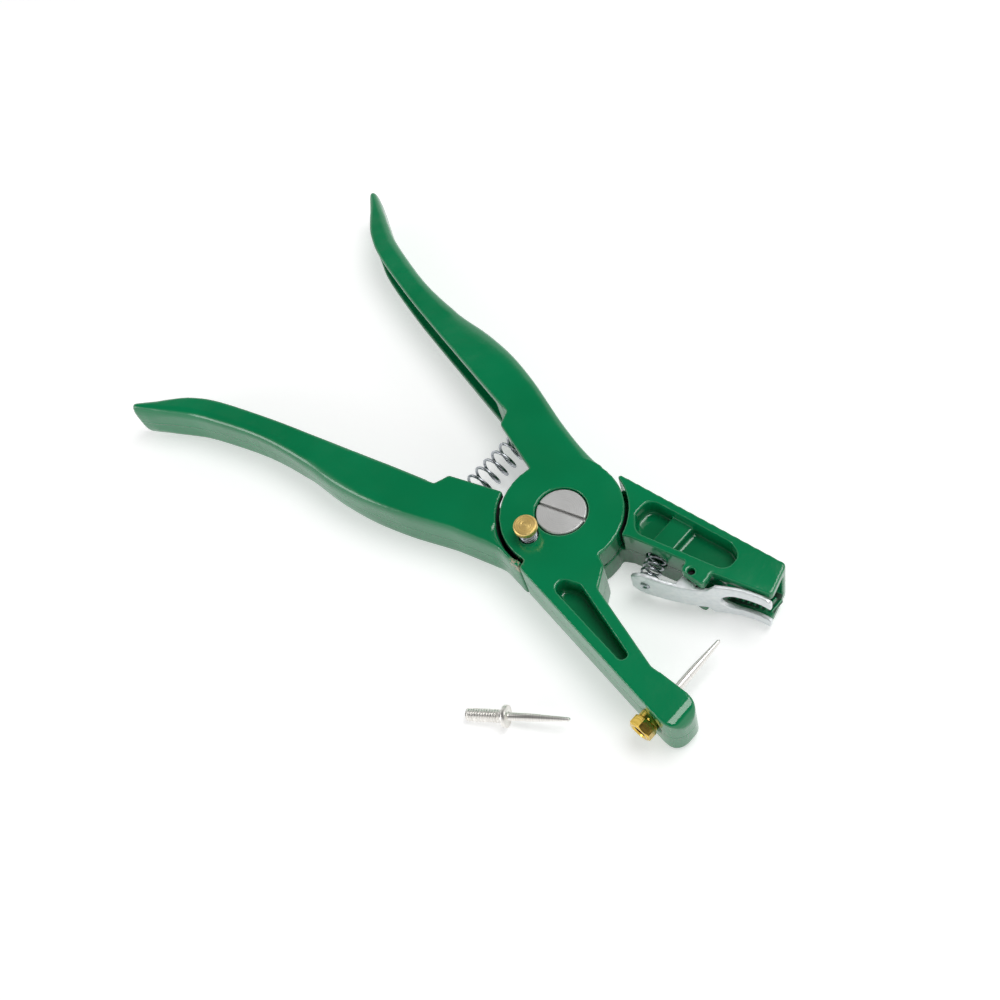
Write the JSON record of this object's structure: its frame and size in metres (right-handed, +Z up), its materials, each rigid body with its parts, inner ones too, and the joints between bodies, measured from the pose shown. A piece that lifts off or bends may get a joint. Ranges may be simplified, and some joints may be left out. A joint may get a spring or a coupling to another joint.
{
  "type": "ear tag pliers",
  "caption": "Hinged hand pliers with cast levers, a tapered applicator pin on one jaw and a sprung, forked tag clip on the other, for setting ear tags.",
  "frame": {"origin": "on the pivot axis, at the underside of the hub, which is the plane that the pliers lie on", "axes": "+X from the pivot to the jaws, +Z up through the pivot axis, +Y to the side of the pin lever's handle"},
  "size_m": [0.245, 0.137, 0.0264],
  "materials": {
    "green_enamel": "gloss green enamel on a casting",
    "screw_steel": "satin turned steel",
    "brass": "turned brass",
    "nickel": "nickel plated",
    "zinc": "bright zinc plated sheet",
    "spring_steel": "drawn spring wire"
  },
  "bodies": {
    "pin_lever": {"pin_lever": "green_enamel", "pivot_screw": "screw_steel", "pivot_sleeve_nut": "screw_steel", "hub_washer": "brass", "handle_spring": "spring_steel", "applicator_pin": "nickel", "pin_nut": "brass", "lock_spring": "spring_steel"},
    "clip_lever": {"clip_lever": "green_enamel", "clip_pivot_pin": "nickel", "clip_spring": "spring_steel"},
    "tag_clip": {"tag_clip": "zinc", "clip_rivet": "zinc"},
    "lock_button": {"lock_cap": "brass", "lock_stem": "nickel"},
    "spare_pin": {"spare_pin": "nickel"}
  },
  "joints": [
    {"name": "handle_pivot", "type": "hinge", "parent": "pin_lever", "child": "clip_lever", "pos_m": [0, 0, 0], "axis": [0, 0, -1], "range_deg": [0, 20], "stiffness_Nm_per_rad": 0.8, "springref_deg": -20.05, "deforming": ["handle_spring"]},
    {"name": "lock_press", "type": "slide", "parent": "pin_lever", "child": "lock_button", "axis": [0, 0, -1], "range_m": [0, 0.003], "stiffness_N_per_m": 400, "springref_m": -0.002, "deforming": ["lock_spring"]},
    {"name": "clip_hinge", "type": "hinge", "parent": "clip_lever", "child": "tag_clip", "pos_m": [0.0476, 0.0088, 0.01], "axis": [0, 0, -1], "range_deg": [0, 12], "stiffness_Nm_per_rad": 0.15, "springref_deg": -17.19, "deforming": ["clip_spring"]},
    {"name": "spare_pin_lift", "type": "slide", "parent": "pin_lever", "child": "spare_pin", "axis": [0, 0, 1], "range_m": [0, 0.04]}
  ]
}
